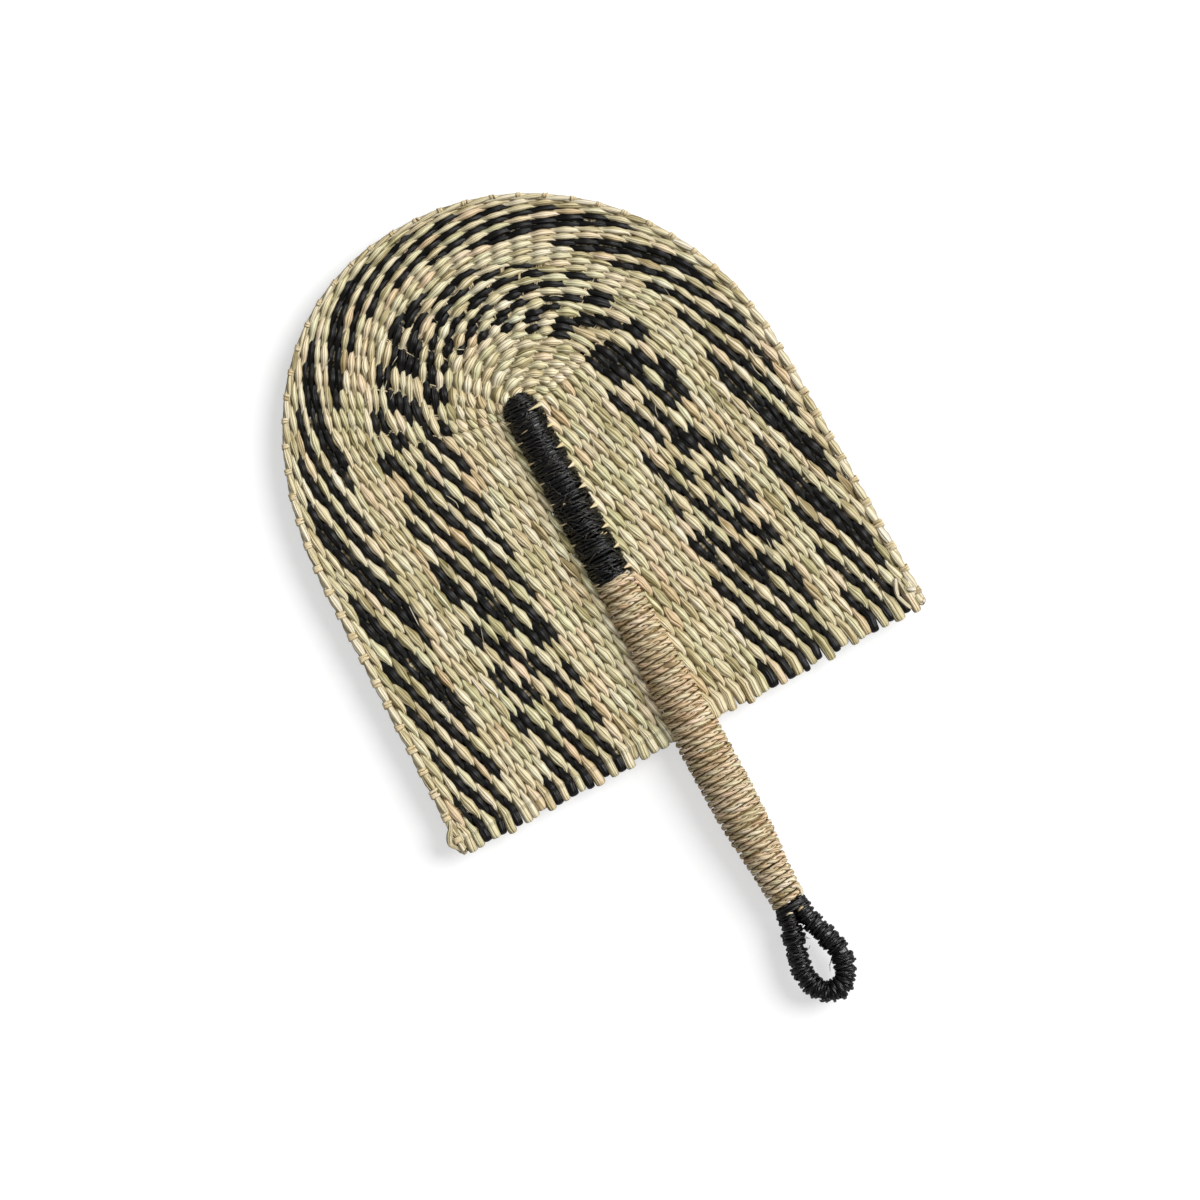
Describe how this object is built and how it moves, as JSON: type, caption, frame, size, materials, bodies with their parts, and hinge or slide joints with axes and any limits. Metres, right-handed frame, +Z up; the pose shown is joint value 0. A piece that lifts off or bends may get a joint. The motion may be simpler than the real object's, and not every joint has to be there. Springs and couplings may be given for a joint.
{
  "type": "straw hand fan",
  "caption": "Woven straw hand fan: an arched flat blade of twined grass rows on a straight bound handle that ends in a small bound hanging loop.",
  "frame": {"origin": "under the middle of the fan's box, on the table that the handle's underside lies on", "axes": "+Y along the handle from the hanging loop to the crown of the arch, +Z up out of the face, +X to the right for someone who looks down on the face with the loop towards them"},
  "size_m": [0.2692, 0.4466, 0.0241],
  "materials": {
    "grass": "matt to satin dried grass strands, natural green-beige with black-dyed strands",
    "warp_straw": "satin pale dried grass stems",
    "core_straw": "matt straw bundle",
    "natural_binding": "satin twisted grass cord, natural beige",
    "black_straw": "satin black-dyed grass binding"
  },
  "bodies": {
    "root": {"twined_row_01": "grass", "twined_row_02": "grass", "twined_row_03": "grass", "twined_row_04": "grass", "twined_row_05": "grass", "twined_row_06": "grass", "twined_row_07": "grass", "twined_row_08": "grass", "twined_row_09": "grass", "twined_row_10": "grass", "twined_row_11": "grass", "twined_row_12": "grass", "twined_row_13": "grass", "twined_row_14": "grass", "twined_row_15": "grass", "twined_row_16": "grass", "twined_row_17": "grass", "twined_row_18": "grass", "twined_row_19": "grass", "twined_row_20": "grass", "twined_row_21": "grass", "twined_row_22": "grass", "twined_row_23": "grass", "twined_row_24": "grass", "twined_row_25": "grass", "twined_row_26": "grass", "rim_row": "grass", "cross_warp_01": "warp_straw", "cross_warp_02": "warp_straw", "cross_warp_03": "warp_straw", "cross_warp_04": "warp_straw", "cross_warp_05": "warp_straw", "cross_warp_06": "warp_straw", "cross_warp_07": "warp_straw", "cross_warp_08": "warp_straw", "cross_warp_09": "warp_straw", "cross_warp_10": "warp_straw", "cross_warp_11": "warp_straw", "cross_warp_12": "warp_straw", "cross_warp_13": "warp_straw", "cross_warp_14": "warp_straw", "cross_warp_15": "warp_straw", "cross_warp_16": "warp_straw", "arch_spoke_pair_01": "warp_straw", "arch_spoke_pair_02": "warp_straw", "arch_spoke_pair_03": "warp_straw", "arch_spoke_pair_04": "warp_straw", "arch_spoke_pair_05": "warp_straw", "arch_spoke_pair_06": "warp_straw", "arch_spoke_pair_07": "warp_straw", "arch_spoke_pair_08": "warp_straw", "arch_spoke_pair_09": "warp_straw", "arch_spoke_pair_10": "warp_straw", "arch_spoke_pair_11": "warp_straw", "arch_spoke_pair_12": "warp_straw", "handle_core": "core_straw", "upper_handle_binding": "black_straw", "lower_handle_binding": "natural_binding", "loop_core": "core_straw", "loop_binding": "black_straw"}
  },
  "joints": []
}
